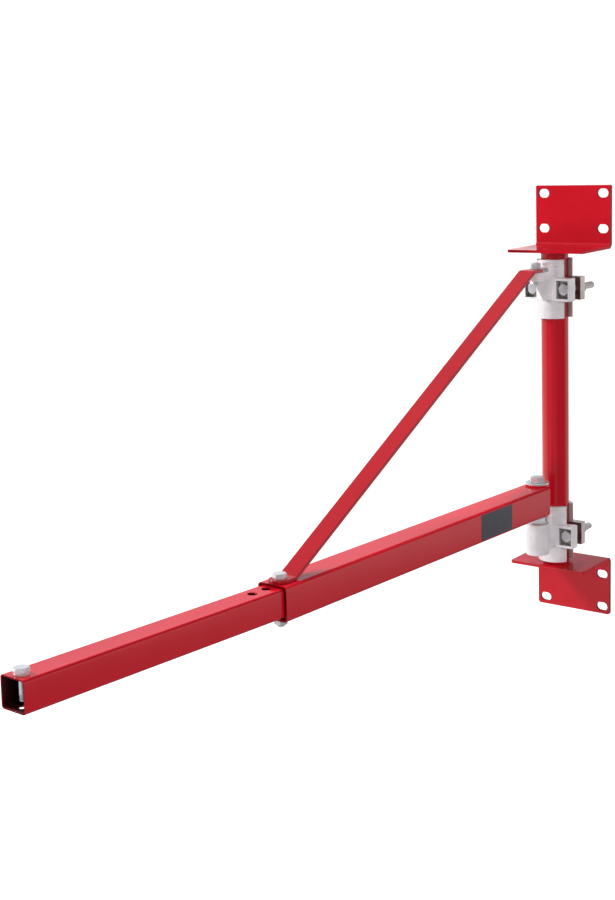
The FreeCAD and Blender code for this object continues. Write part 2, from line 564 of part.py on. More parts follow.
# ---------------------------------------------------------------- checks and files
doc.recompute()
if doc.getObject("Probe"):
    doc.removeObject("Probe")
    doc.recompute()
for obj in doc.Objects:
    bad = [s for s in obj.State if s in ("Invalid", "Error")]
    if bad:
        raise RuntimeError("%s (%s): %s" % (obj.Name, obj.Label, obj.State))
for obj in NODES:
    shape = obj.Shape
    if shape.isNull() or not shape.isValid():
        raise RuntimeError("bad shape: " + obj.Label)
os.makedirs("parts", exist_ok=True)
for old in os.listdir("parts"):
    if old.endswith(".step"):
        os.remove(os.path.join("parts", old))
for obj in NODES:
    obj.Shape.exportStep(os.path.join("parts", obj.Label + ".step"))
    b = obj.Shape.BoundBox
    print("%-26s %d solid(s) vol %9.0f  x %7.1f..%7.1f y %7.1f..%7.1f z %7.1f..%7.1f" % (
        obj.Label, len(obj.Shape.Solids), obj.Shape.Volume, b.XMin, b.XMax, b.YMin, b.YMax, b.ZMin, b.ZMax))
print(len(NODES), "nodes")
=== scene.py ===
import math
import bpy
import bmesh
from mathutils import Matrix, Vector


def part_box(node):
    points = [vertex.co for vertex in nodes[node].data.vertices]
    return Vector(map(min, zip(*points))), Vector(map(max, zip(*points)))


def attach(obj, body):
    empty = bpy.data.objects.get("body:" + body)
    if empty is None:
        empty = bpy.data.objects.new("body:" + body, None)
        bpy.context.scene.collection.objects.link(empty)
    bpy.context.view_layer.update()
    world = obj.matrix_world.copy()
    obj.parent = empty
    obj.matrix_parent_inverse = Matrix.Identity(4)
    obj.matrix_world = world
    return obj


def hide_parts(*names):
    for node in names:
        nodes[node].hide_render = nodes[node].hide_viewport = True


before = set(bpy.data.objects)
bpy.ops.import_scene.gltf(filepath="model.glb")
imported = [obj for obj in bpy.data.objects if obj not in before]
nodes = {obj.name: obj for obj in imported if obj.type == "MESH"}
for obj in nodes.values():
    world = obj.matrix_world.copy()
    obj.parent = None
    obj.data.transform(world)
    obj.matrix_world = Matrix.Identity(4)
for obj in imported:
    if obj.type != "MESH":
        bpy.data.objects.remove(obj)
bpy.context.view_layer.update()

MM = 0.001
UPPER_TURN = math.radians(-6)    # the upper clamp is turned a little about the pole

# ------------------------------------------------------------------ camera at the photograph's viewing angle
cam_data = bpy.data.cameras.new("camera")
cam = bpy.data.objects.new("camera", cam_data)
bpy.context.scene.collection.objects.link(cam)
cam_data.sensor_fit = "VERTICAL"
cam_data.sensor_height = 36.0
cam_data.sensor_width = 36.0
cam_data.lens = 36.0 * 1459.903 / 900.0
cam_data.shift_x = 18.228 / 900.0
cam_data.shift_y = -26.156 / 900.0
cam_data.clip_start = 0.05
cam_data.clip_end = 60.0
r = Vector((-0.61570476, 0.7869267, -0.04066968))
u = Vector((-0.18135661, -0.0912913, 0.97917091))
f = Vector((-0.76682295, -0.6102559, -0.19892285))
place = Matrix(((r.x, u.x, -f.x, 2.4239), (r.y, u.y, -f.y, 1.24734), (r.z, u.z, -f.z, 0.87948), (0, 0, 0, 1)))
cam.matrix_world = place
bpy.context.scene.camera = cam

# ------------------------------------------------------------------ materials


def tree(name):
    m = bpy.data.materials.new(name)
    m.use_nodes = True
    nt = m.node_tree
    b = nt.nodes["Principled BSDF"]
    return m, nt, b


def noise(nt, scale, detail=3.0, rough=0.5, where=(-900, 0)):
    tc = nt.nodes.new("ShaderNodeTexCoord")
    n = nt.nodes.new("ShaderNodeTexNoise")
    n.inputs["Scale"].default_value = scale
    n.inputs["Detail"].default_value = detail
    n.inputs["Roughness"].default_value = rough
    nt.links.new(tc.outputs["Object"], n.inputs["Vector"])
    return n


def ramp(nt, src, stops):
    c = nt.nodes.new("ShaderNodeValToRGB")
    el = c.color_ramp.elements
    el[0].position, el[0].color = stops[0][0], (*stops[0][1], 1)
    el[1].position, el[1].color = stops[-1][0], (*stops[-1][1], 1)
    for p, col in stops[1:-1]:
        e = el.new(p)
        e.color = (*col, 1)
    nt.links.new(src, c.inputs["Fac"])
    return c


def mix_rgb(nt, fac, a, b, mode="MIX"):
    m = nt.nodes.new("ShaderNodeMix")
    m.data_type = "RGBA"
    m.blend_type = mode
    if isinstance(fac, float):
        m.inputs["Factor"].default_value = fac
    else:
        nt.links.new(fac, m.inputs["Factor"])
    for sock, v in ((m.inputs[6], a), (m.inputs[7], b)):
        if isinstance(v, tuple):
            sock.default_value = (*v, 1)
        else:
            nt.links.new(v, sock)
    return m.outputs[2]


def bump(nt, b, height, strength, dist, chain=None):
    n = nt.nodes.new("ShaderNodeBump")
    n.inputs["Strength"].default_value = strength
    n.inputs["Distance"].default_value = dist
    nt.links.new(height, n.inputs["Height"])
    if chain:
        nt.links.new(chain, n.inputs["Normal"])
    nt.links.new(n.outputs["Normal"], b.inputs["Normal"])
    return n.outputs["Normal"]


def red_paint(name="red_powder_coat", base=(0.53, 0.0040, 0.0155), dark=(0.50, 0.0034, 0.013), gloss=0.5, clamp_shade_bands=(), fade=None):
    """Glossy powder coat: even red, a faint cloudiness and fine orange peel; optional bands along Z darkened as
    painted shade where a clamp sits round the part, and an optional fade from the given red into the plain red along
    one axis.
    """
    m, nt, b = tree(name)
    cloud = noise(nt, 9.0, 4.0, 0.55)
    tint = ramp(nt, cloud.outputs["Fac"], [(0.35, dark), (0.62, base)])
    colour = tint.outputs["Color"]
    if clamp_shade_bands:
        tc = nt.nodes.new("ShaderNodeTexCoord")
        sep = nt.nodes.new("ShaderNodeSeparateXYZ")
        nt.links.new(tc.outputs["Object"], sep.inputs["Vector"])
        # each band along Z is darkened: painted shade where a clamp sits round the part
        for lo, hi in clamp_shade_bands:
            inside = nt.nodes.new("ShaderNodeMath")
            inside.operation = "COMPARE"
            nt.links.new(sep.outputs["Z"], inside.inputs[0])
            inside.inputs[1].default_value = (lo + hi) / 2
            inside.inputs[2].default_value = (hi - lo) / 2
            colour = mix_rgb(nt, inside.outputs["Value"], colour, (0.25, 0.0012, 0.0065))
    # fade: from near to far the given red blends into the plain red, which keeps the painted shade of a rim near its
    # edge
    if fade:
        tc = nt.nodes.new("ShaderNodeTexCoord")
        sep = nt.nodes.new("ShaderNodeSeparateXYZ")
        nt.links.new(tc.outputs["Object"], sep.inputs["Vector"])
        axis, near, far = fade
        past = nt.nodes.new("ShaderNodeMapRange")
        past.interpolation_type = "SMOOTHSTEP"
        past.inputs["From Min"].default_value = near
        past.inputs["From Max"].default_value = far
        nt.links.new(sep.outputs[axis], past.inputs["Value"])
        colour = mix_rgb(nt, past.outputs["Result"], colour, (0.50, 0.0036, 0.0140))
    nt.links.new(colour, b.inputs["Base Color"])
    b.inputs["Specular IOR Level"].default_value = gloss
    b.inputs["Metallic"].default_value = 0.0
    b.inputs["IOR"].default_value = 1.5
    smear = noise(nt, 45.0, 3.0, 0.6)
    rr = ramp(nt, smear.outputs["Fac"], [(0.3, (0.13, 0.13, 0.13)), (0.7, (0.19, 0.19, 0.19))])
    nt.links.new(rr.outputs["Color"], b.inputs["Roughness"])
    peel = noise(nt, 620.0, 2.0, 0.5)
    peel2 = noise(nt, 150.0, 2.0, 0.5)
    first = bump(nt, b, peel.outputs["Fac"], 0.05, 0.0002)
    bump(nt, b, peel2.outputs["Fac"], 0.03, 0.0006, first)
    return m


def cast_metal(name="cast_silver", base=(0.78, 0.74, 0.765), dark=(0.67, 0.635, 0.66), lite=(0.85, 0.815, 0.835)):
    """Light satin casting: sandy grain, faint mottling, darker in the pores."""
    m, nt, b = tree(name)
    mott = noise(nt, 38.0, 4.0, 0.55)
    tint = ramp(nt, mott.outputs["Fac"], [(0.28, dark), (0.50, base), (0.74, lite)])
    pores = noise(nt, 900.0, 2.0, 0.7)
    spots = ramp(nt, pores.outputs["Fac"], [(0.30, (0.70, 0.68, 0.68)), (0.42, (1, 1, 1))])
    nt.links.new(mix_rgb(nt, 0.5, tint.outputs["Color"], spots.outputs["Color"], "MULTIPLY"), b.inputs["Base Color"])
    b.inputs["Metallic"].default_value = 0.25
    rr = ramp(nt, mott.outputs["Fac"], [(0.3, (0.44, 0.44, 0.44)), (0.7, (0.34, 0.34, 0.34))])
    nt.links.new(rr.outputs["Color"], b.inputs["Roughness"])
    first = bump(nt, b, pores.outputs["Fac"], 0.35, 0.0003)
    lump = noise(nt, 190.0, 3.0, 0.5)
    bump(nt, b, lump.outputs["Fac"], 0.25, 0.0007, first)
    return m


def zinc(name="zinc_plate", base=(0.80, 0.80, 0.83), dark=(0.68, 0.68, 0.71)):
    """Bright zinc plate with a fine drawn grain and a soft bloom."""
    m, nt, b = tree(name)
    n = noise(nt, 420.0, 3.0, 0.6)
    tint = ramp(nt, n.outputs["Fac"], [(0.3, dark), (0.65, base)])
    nt.links.new(tint.outputs["Color"], b.inputs["Base Color"])
    b.inputs["Metallic"].default_value = 0.58
    rr = ramp(nt, n.outputs["Fac"], [(0.3, (0.26, 0.26, 0.26)), (0.7, (0.18, 0.18, 0.18))])
    nt.links.new(rr.outputs["Color"], b.inputs["Roughness"])
    bump(nt, b, n.outputs["Fac"], 0.03, 0.0001)
    return m


def bore(name="tube_bore", tip=1.3574):
    """Inside of a tube: a little overspray at the mouth, then unpainted steel, darkened to near black deeper in as
    painted shade.
    """
    m, nt, b = tree(name)
    tc = nt.nodes.new("ShaderNodeTexCoord")
    sep = nt.nodes.new("ShaderNodeSeparateXYZ")
    nt.links.new(tc.outputs["Object"], sep.inputs["Vector"])
    mr = nt.nodes.new("ShaderNodeMapRange")
    mr.inputs["From Min"].default_value = tip - 0.040
    mr.inputs["From Max"].default_value = tip - 0.002
    nt.links.new(sep.outputs["X"], mr.inputs["Value"])
    # red overspray at the mouth, near black deeper in: painted shade for the unlit inside
    fade = ramp(nt, mr.outputs["Result"], [(0.0, (0.010, 0.006, 0.007)), (0.45, (0.016, 0.004, 0.006)), (1.0, (0.085, 0.002, 0.004))])
    grime = noise(nt, 90.0, 3.0, 0.6)
    dark = ramp(nt, grime.outputs["Fac"], [(0.3, (0.7, 0.7, 0.7)), (0.7, (1, 1, 1))])
    nt.links.new(mix_rgb(nt, 1.0, fade.outputs["Color"], dark.outputs["Color"], "MULTIPLY"), b.inputs["Base Color"])
    b.inputs["Roughness"].default_value = 0.5
    return m


def sticker(name="bare_label", base=(0.039, 0.036, 0.050)):
    """Dark satin vinyl label, bare."""
    m, nt, b = tree(name)
    n = noise(nt, 70.0, 3.0, 0.5)
    tint = ramp(nt, n.outputs["Fac"], [(0.3, tuple(v * 0.88 for v in base)), (0.7, tuple(v * 1.12 for v in base))])
    nt.links.new(tint.outputs["Color"], b.inputs["Base Color"])
    b.inputs["Roughness"].default_value = 0.38
    grain = noise(nt, 1400.0, 2.0, 0.5)
    bump(nt, b, grain.outputs["Fac"], 0.08, 0.0002)
    return m


M_RED = red_paint()
# a darker red for the rounded edge strips: painted shade along the edges
M_RED_EDGE_SHADE = red_paint("red_coat_edge_shade", (0.22, 0.0016, 0.006), (0.16, 0.0012, 0.0045))
# dark reds for the slots' walls and the tubes' end faces (rim), the brackets' thin sides (side) and the upper leg's
# front rim (lip): painted shade
M_RED_RIM_SHADE = red_paint("red_coat_rim_shade", (0.21, 0.0010, 0.0060), (0.17, 0.0008, 0.0050), gloss=0.08)
M_RED_SIDE_SHADE = red_paint("red_coat_side_shade", (0.17, 0.0008, 0.0055), (0.14, 0.0007, 0.0045), gloss=0.12, fade=("X", 0.005, 0.012))
M_RED_LIP_SHADE = red_paint("red_coat_lip_shade", (0.21, 0.0010, 0.0060), (0.18, 0.0008, 0.0050), gloss=0.25, fade=("Y", -0.050, 0.0))
# the pole: a little darker than the other red parts, with darker bands where the clamps sit: painted shade
M_RED_POST = red_paint("red_coat_post", (0.49, 0.0038, 0.0140), (0.46, 0.0032, 0.0120), clamp_shade_bands=((0.0745, 0.1780), (0.5265, 0.6300)))
# a darker red for the brace strap than for the other red parts: painted shade
M_RED_BAR_SHADE = red_paint("red_coat_bar_shade", (0.42, 0.0034, 0.0125), (0.39, 0.0028, 0.0105))
M_CAST = cast_metal()
# a darker cast tone for the castings' rounded edge strips: painted shade along the edges
M_CAST_EDGE_SHADE = cast_metal("cast_edge_shade", (0.50, 0.47, 0.48), (0.34, 0.32, 0.33), (0.62, 0.59, 0.60))
# a dark cast tone for the walls of the bolt recesses: painted shade
M_CAST_RECESS_SHADE = cast_metal("cast_recess_shade", (0.40, 0.39, 0.37), (0.22, 0.215, 0.205), (0.56, 0.545, 0.52))
# a near-white cast tone for the ears' front faces and the upper lug's top: painted light
M_CAST_FACE_LIT = cast_metal("cast_face_lit", (0.97, 0.93, 0.96), (0.90, 0.86, 0.89), (0.98, 0.96, 0.97))
M_CAST_BACK = cast_metal("cast_beige", (0.62, 0.56, 0.53), (0.50, 0.45, 0.42), (0.70, 0.64, 0.61))
# a dark maroon for the rear castings' split faces: painted shade and a painted reflection of the red pole
M_CAST_SPLIT_SHADE = cast_metal("cast_split_shade", (0.135, 0.050, 0.056), (0.080, 0.028, 0.032), (0.26, 0.15, 0.15))
M_ZINC = zinc()
M_LABEL = sticker()
M_BORE = bore()
M_BORE_OUTER = bore("tube_bore_outer", 0.8838)


def dress(obj, mat):
    if obj.data.materials:
        for i in range(len(obj.data.materials)):
            obj.data.materials[i] = mat
    else:
        obj.data.materials.append(mat)


def plain_normals(obj):
    me = obj.data
    if "custom_normal" in me.attributes:
        me.attributes.remove(me.attributes["custom_normal"])
    me.polygons.foreach_set("use_smooth", [True] * len(me.polygons))
    me.update()


def soften(obj, width, angle=32.0, segments=2, edge_mat=None):
    """Rounds the sharp edges of a part a little, as paint and tumbling do; the rounded strip may take a darker
    material, painted shade along the edges.
    """
    plain_normals(obj)
    w = obj.modifiers.new("join", "WELD")
    w.merge_threshold = 2e-6
    d = obj.modifiers.new("flat", "DECIMATE")
    d.decimate_type = "DISSOLVE"
    d.angle_limit = math.radians(0.5)
    b = obj.modifiers.new("edge", "BEVEL")
    b.width = width
    b.segments = segments
    b.limit_method = "ANGLE"
    b.angle_limit = math.radians(angle)
    b.harden_normals = True
    b.miter_outer = "MITER_ARC"
    if edge_mat:
        obj.data.materials.append(edge_mat)
        b.material = len(obj.data.materials) - 1


RED = ["lower_wall_bracket", "upper_wall_bracket", "pole", "swivel_sleeve", "arm_outer_tube", "arm_inner_tube", "brace_strap"]
for n in RED:
    dress(nodes[n], M_RED)
for n in nodes:
    if "washer" in n:
        dress(nodes[n], M_ZINC)
        soften(nodes[n], 0.00035, 30, 2)
dress(nodes["brace_strap"], M_RED_BAR_SHADE)
dress(nodes["pole"], M_RED_POST)
for n in ("lower_wall_bracket", "upper_wall_bracket"):
    # the thin side faces, the slots' walls and the upper leg's front rim get darker reds than the rolled faces:
    # painted shade
    ob = nodes[n]
    ob.data.materials.append(M_RED_RIM_SHADE)
    ob.data.materials.append(M_RED_SIDE_SHADE)
    ob.data.materials.append(M_RED_LIP_SHADE)
    for p in ob.data.polygons:
        c = ob.matrix_world @ p.center
        side = abs(p.normal.y) > 0.95 and abs(c.y) > 0.0745
        wall = c.x < 0.0052 and abs(p.normal.x) < 0.3 and abs(c.y) < 0.072 and 0.018 < abs(c.z - (0.71 if "upper" in n else 0.0)) < 0.0455
        if side or wall:
            p.material_index = len(ob.data.materials) - (2 if side else 3)
        elif "upper" in n and p.normal.x > 0.95 and c.x > 0.1125:
            p.material_index = len(ob.data.materials) - 1
    soften(ob, 0.0011, 32, 3, M_RED_EDGE_SHADE)
soften(nodes["pole"], 0.0003)
soften(nodes["swivel_sleeve"], 0.0006, 32, 2)


def dark_inside(name, side, wall, pitch, s0, z0, mat):
    """Gives the walls inside a tube the bore material, near black deeper in as painted shade."""
    ob = nodes[name]
    ob.data.materials.append(mat)
    idx = len(ob.data.materials) - 1
    turn = Matrix.Rotation(math.radians(-1.83), 4, "Z") @ Matrix.Rotation(-math.radians(pitch), 4, "Y")
    frame_at = Matrix.Translation(Vector((0.145, 0, 0)) + Matrix.Rotation(math.radians(-1.83), 4, "Z") @ Vector((s0, 0, z0))) @ turn
    back = (ob.matrix_world.inverted() @ frame_at).inverted()
    rot = back.to_3x3()
    lim = side / 2 - wall * 0.6
    for p in ob.data.polygons:
        c = back @ p.center
        nn = rot @ p.normal
        if abs(c.y) < lim and abs(c.z) < lim and abs(nn.x) < 0.5:
            p.material_index = idx




def dark_windows(name):
    """Painted shade inside the two bolt recesses of a front casting, a darker material on their walls, and painted
    light on its ears' front faces and, on the upper casting, on the top of the lug, a near-white material.
    """
    ob = nodes[name]
    ob.data.materials.append(M_CAST_RECESS_SHADE)
    ob.data.materials.append(M_CAST_FACE_LIT)
    idx = len(ob.data.materials) - 2
    back = Matrix.Rotation(-UPPER_TURN if "upper" in name else 0.0, 3, "Z")
    pole = Vector((0.075, 0, 0))
    for p in ob.data.polygons:
        c = pole + back @ (ob.matrix_world @ p.center - pole)
        nx = abs((back @ p.normal).x)
        if 0.0905 < c.x < 0.1015 and 0.0208 < abs(c.y) < 0.0452 and (nx > 0.9 and c.x < 0.0915 or nx < 0.2):
            p.material_index = idx
        elif nx > 0.99 and 0.1015 < c.x < 0.1025 and abs(c.y) < 0.0481 or "upper" in name and c.z > 0.6189 and c.x > 0.107:
            p.material_index = idx + 1


def dark_split(name):
    """Painted shade with a painted reflection of the red pole on the split face of a rear casting, seen through the
    gap between the ears.
    """
    ob = nodes[name]
    ob.data.materials.append(M_CAST_SPLIT_SHADE)
    idx = len(ob.data.materials) - 1
    back = Matrix.Rotation(-UPPER_TURN if "upper" in name else 0.0, 3, "Z")
    pole = Vector((0.075, 0, 0))
    low = 0.5565 if "upper" in name else 0.1045
    for p in ob.data.polygons:
        c = back @ (ob.matrix_world @ p.center - pole)
        if (back @ p.normal).x > 0.95 and abs(c.y) > 0.020 and low < c.z < low + 0.043:
            p.material_index = idx


t_in = math.tan(math.radians(2.148))
dark_inside("arm_outer_tube", 0.053, 0.003, 1.055, 0.0, 0.20095, M_BORE_OUTER)
dark_inside("arm_inner_tube", 0.0435, 0.002, 2.148, 0.592, 0.2156 - (0.738 * math.cos(math.radians(1.055)) - 0.592) * t_in, M_BORE)
for n, mat in (("lower_clamp_front", M_CAST), ("upper_clamp_front", M_CAST), ("lower_clamp_back", M_CAST_BACK), ("upper_clamp_back", M_CAST_BACK)):
    dress(nodes[n], mat)
    if "front" in n:
        dark_windows(n)
    else:
        dark_split(n)
    soften(nodes[n], 0.0011, 25, 3, M_CAST_EDGE_SHADE)
# the tubes' end faces take the dark rim red: painted shade on the rims
for n, tip in (("arm_outer_tube", 0.8800), ("arm_inner_tube", 1.3530)):
    ob = nodes[n]
    ob.data.materials.append(M_RED_RIM_SHADE)
    for p in ob.data.polygons:
        if p.normal.x > 0.9 and (ob.matrix_world @ p.center).x > tip:
            p.material_index = len(ob.data.materials) - 1
soften(nodes["arm_outer_tube"], 0.0008, 32, 3, M_RED_EDGE_SHADE)
soften(nodes["arm_inner_tube"], 0.0008, 32, 3, M_RED_EDGE_SHADE)
soften(nodes["brace_strap"], 0.0011, 32, 3, M_RED_EDGE_SHADE)

# ------------------------------------------------------------------ fasteners with chamfers and threads


def hex_r(flats, th):
    k = (th + math.pi / 6) % (math.pi / 3) - math.pi / 6
    return flats / 2 / math.cos(k)


def mesh_object(name, bm, mat, angle=28.0):
    bm.normal_update()
    for e in bm.edges:
        e.smooth = not (len(e.link_faces) == 2 and e.calc_face_angle(0.0) > math.radians(angle))
    for fc in bm.faces:
        fc.smooth = True
    me = bpy.data.meshes.new(name)
    bm.to_mesh(me)
    bm.free()
    ob = bpy.data.objects.new(name, me)
    bpy.context.scene.collection.objects.link(ob)
    me.materials.append(mat)
    return ob


def ring(bm, radii, z, n):
    out = []
    for i in range(n):
        th = 2 * math.pi * i / n
        rr = radii(th) if callable(radii) else radii
        zz = z(th) if callable(z) else z
        out.append(bm.verts.new((rr * math.cos(th), rr * math.sin(th), zz)))
    return out


def bridge(bm, a, b):
    n = len(a)
    for i in range(n):
        bm.faces.new((a[i], a[(i + 1) % n], b[(i + 1) % n], b[i]))


def cap(bm, a, up=True):
    bm.faces.new(a if up else list(reversed(a)))


N = 96


def head_rings(bm, flats, tall, dome=0.0):
    """Hexagon head, bearing face at z=0, chamfered crown at z=tall."""
    rc = flats / 2 * 0.94
    zt = lambda th: tall - (hex_r(flats, th) - rc) * math.tan(math.radians(30))
    wash = ring(bm, flats / 2 * 0.96, 0.0, N)
    wash2 = ring(bm, flats / 2 * 0.96, 0.4 * MM, N)
    low = ring(bm, lambda th: hex_r(flats, th) - 0.25 * MM, 0.4 * MM, N)
    low2 = ring(bm, lambda th: hex_r(flats, th), 0.7 * MM, N)
    high = ring(bm, lambda th: hex_r(flats, th), zt, N)
    top = ring(bm, rc, tall, N)
    mid = ring(bm, rc * 0.86, tall + dome * 0.35, N)
    inn = ring(bm, rc * 0.45, tall + dome * 0.9, N)
    for a, b in ((wash, wash2), (wash2, low), (low, low2), (low2, high), (high, top), (top, mid), (mid, inn)):
        bridge(bm, a, b)
    cap(bm, inn)
    return wash


def thread_rings(bm, start, dia, pitch, z0, z1, n=N, step=7):
    """Screw thread below z0 down to z1, blended to a chamfered end."""
    depth = 0.61 * pitch
    count = max(6, int((z0 - z1) / pitch * step))
    prev = start
    for k in range(1, count + 1):
        z = z0 + (z1 - z0) * k / count
        end = min(1.0, (z - z1) / (0.9 * pitch))

        def rad(th, z=z, end=end):
            p = (z / pitch - th / (2 * math.pi)) % 1.0
            t = abs(2 * p - 1)
            t = min(1.0, max(0.0, (t - 0.10) / 0.75))
            rr = dia / 2 - depth * (1 - t)
            return min(rr, dia / 2 - 0.9 * pitch * (1 - end))
        cur = ring(bm, rad, z, n)
        bridge(bm, cur, prev)
        prev = cur
    return prev


def bolt(name, flats, tall, dia, pitch, plain, total, mat, dome=0.0):
    bm = bmesh.new()
    wash = head_rings(bm, flats, tall, dome)
    a = ring(bm, dia / 2, 0.0, N)
    bridge(bm, a, wash)
    b = ring(bm, dia / 2, -plain, N)
    bridge(bm, b, a)
    end = thread_rings(bm, b, dia, pitch, -plain, -total)
    cap(bm, end, False)
    return mesh_object(name, bm, mat)


def stud(name, dia, pitch, top, plain, low, mat):
    """Rod with a thread at its upper end, top at z=top, plain below z=plain down to z=low."""
    bm = bmesh.new()
    a = ring(bm, dia / 2, low, N)
    b = ring(bm, dia / 2, plain, N)
    bridge(bm, a, b)
    cap(bm, a, False)
    depth = 0.61 * pitch
    count = max(6, int((top - plain) / pitch * 7))
    prev = b
    for k in range(1, count + 1):
        z = plain + (top - plain) * k / count
        end = min(1.0, (top - z) / (0.9 * pitch))

        def rad(th, z=z, end=end):
            p = (z / pitch - th / (2 * math.pi)) % 1.0
            t = min(1.0, max(0.0, (abs(2 * p - 1) - 0.10) / 0.75))
            return min(dia / 2 - depth * (1 - t), dia / 2 - 0.9 * pitch * (1 - end))
        cur = ring(bm, rad, z, N)
        bridge(bm, prev, cur)
        prev = cur
    cap(bm, prev)
    return mesh_object(name, bm, mat)


def nut(name, flats, tall, bore, mat):
    bm = bmesh.new()
    rc = flats / 2 * 0.95
    drop = lambda th: (hex_r(flats, th) - rc) * math.tan(math.radians(30))
    rings = [
        ring(bm, bore / 2, 0.9 * MM, N), ring(bm, bore / 2 + 0.9 * MM, 0.0, N), ring(bm, rc, 0.0, N),
        ring(bm, lambda th: hex_r(flats, th), drop, N), ring(bm, lambda th: hex_r(flats, th), lambda th: tall - drop(th), N),
        ring(bm, rc, tall, N), ring(bm, bore / 2 + 0.9 * MM, tall, N), ring(bm, bore / 2, tall - 0.9 * MM, N)]
    for a, b in zip(rings, rings[1:] + rings[:1]):
        bridge(bm, a, b)
    return mesh_object(name, bm, mat)


def put(ob, at, z_axis=(0, 0, 1), turn=0.0):
    q = Vector((0, 0, 1)).rotation_difference(Vector(z_axis))
    if tuple(z_axis) == (1, 0, 0):
        m = Matrix.Rotation(math.pi / 2, 4, "Y")
    elif tuple(z_axis) == (-1, 0, 0):
        m = Matrix.Rotation(-math.pi / 2, 4, "Y")
    else:
        m = q.to_matrix().to_4x4()
    ob.data.transform(Matrix.Translation(Vector(at)) @ m @ Matrix.Rotation(turn, 4, "Z"))
    return ob


def stands_for(ob, node, body):
    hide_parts(node)
    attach(ob, body)


for tag, yaw in (("lower", 0.0), ("upper", UPPER_TURN)):
    spin = Matrix.Rotation(yaw, 3, "Z")
    for side, y in (("left", -33 * MM), ("right", 33 * MM)):
        lo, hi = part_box("%s_clamp_bolt_%s" % (tag, side))
        zc = (lo.z + hi.z) / 2
        b = bolt("%s_clamp_bolt_%s_fine" % (tag, side), 19 * MM, 7.5 * MM, 12 * MM, 1.75 * MM, 34 * MM, 86 * MM, M_ZINC, 0.25 * MM)
        put(b, Vector((75 * MM, 0, zc)) + spin @ Vector((16 * MM, y, 0)), spin @ Vector((1, 0, 0)), math.pi / 2 + 0.05)
        stands_for(b, "%s_clamp_bolt_%s" % (tag, side), "wall_frame")
        k = nut("%s_clamp_nut_%s_fine" % (tag, side), 19 * MM, 10 * MM, 12.1 * MM, M_ZINC)
        put(k, Vector((75 * MM, 0, zc)) + spin @ Vector((-37.5 * MM, y, 0)), spin @ Vector((1, 0, 0)), 0.3 if side == "left" else 0.12)
        stands_for(k, "%s_clamp_nut_%s" % (tag, side), "wall_frame")

SX = 0.145
b = bolt("swivel_bolt_fine", 24 * MM, 9.5 * MM, 16 * MM, 2.0 * MM, 70 * MM, 132.8 * MM, M_ZINC, 0.3 * MM)
put(b, (SX, 0, 0.2343), (0, 0, 1), 0.1407)
stands_for(b, "swivel_bolt", "wall_frame")
k = nut("swivel_lock_nut_fine", 24 * MM, 10.8 * MM, 16.1 * MM, M_ZINC)
put(k, (SX, 0, 0.1575), (0, 0, 1), 0.35)
stands_for(k, "swivel_lock_nut", "wall_frame")
s = stud("brace_stud_fine", 10 * MM, 1.5 * MM, 630.0 * MM, 612.0 * MM, 591.0 * MM, M_ZINC)
put(s, (SX, 0, 0))
stands_for(s, "brace_stud", "wall_frame")
k = nut("brace_nut_fine", 16 * MM, 8 * MM, 10.1 * MM, M_ZINC)
put(k, (SX, 0, 0.6206), (0, 0, 1), 0.17)
stands_for(k, "brace_nut", "wall_frame")

# the arm's own directions at rest
SWING = math.radians(-1.83)
PITCH_O = math.radians(1.055)
PITCH_I = math.radians(2.148)


def arm_frame(pitch):
    return Matrix.Rotation(SWING, 4, "Z") @ Matrix.Rotation(-pitch, 4, "Y")


def on_arm(ob, s_along, z, pitch, turn=0.0):
    base = Matrix.Translation(Vector((SX, 0, 0))) @ Matrix.Rotation(SWING, 4, "Z") @ Matrix.Translation(Vector((s_along, 0, z))) \
        @ Matrix.Rotation(-pitch, 4, "Y") @ Matrix.Rotation(turn, 4, "Z")
    ob.data.transform(base)
    return ob


def along(pitch, s0, z0, up):
    """Point up above the tube's axis, measured square to it, at s0 along the arm."""
    return s0 - up * math.sin(pitch), z0 + up * math.cos(pitch)


lock_s = 0.7205
lock_z = 0.20095 + lock_s * math.tan(PITCH_O)
sx, sz = along(PITCH_O, lock_s, lock_z, 31.5 * MM)
b = bolt("lock_bolt_fine", 19 * MM, 8 * MM, 12 * MM, 1.75 * MM, 48 * MM, 72 * MM, M_ZINC, 0.4 * MM)
on_arm(b, sx, sz, PITCH_O, 0.696)
stands_for(b, "lock_bolt", "jib")
sx, sz = along(PITCH_O, lock_s, lock_z, -36.5 * MM)
k = nut("lock_nut_fine", 19 * MM, 10 * MM, 12.1 * MM, M_ZINC)
on_arm(k, sx, sz, PITCH_O, 0.09)
stands_for(k, "lock_nut", "jib")

back_s = 0.592
mouth_s = 0.738 * math.cos(PITCH_O)
back_z = 0.2156 - (mouth_s - back_s) * math.tan(PITCH_I)
stop_s = back_s + (0.620 - 0.0146) * math.cos(PITCH_I)
stop_z = back_z + (stop_s - back_s) * math.tan(PITCH_I)
hi_ = 21.75 * MM
sx, sz = along(PITCH_I, stop_s, stop_z, hi_ + 2 * MM)
b = bolt("end_stop_bolt_fine", 19 * MM, 7.2 * MM, 8 * MM, 1.25 * MM, 27 * MM, 35.6 * MM, M_ZINC, 0.4 * MM)
on_arm(b, sx, sz, PITCH_I, 0.696)
stands_for(b, "end_stop_bolt", "jib")
sx, sz = along(PITCH_I, stop_s, stop_z, hi_ - 6 * MM)
k = nut("end_stop_nut_fine", 13 * MM, 4 * MM, 8.1 * MM, M_ZINC)
on_arm(k, sx, sz, PITCH_I, 0.0)
stands_for(k, "end_stop_nut", "jib")

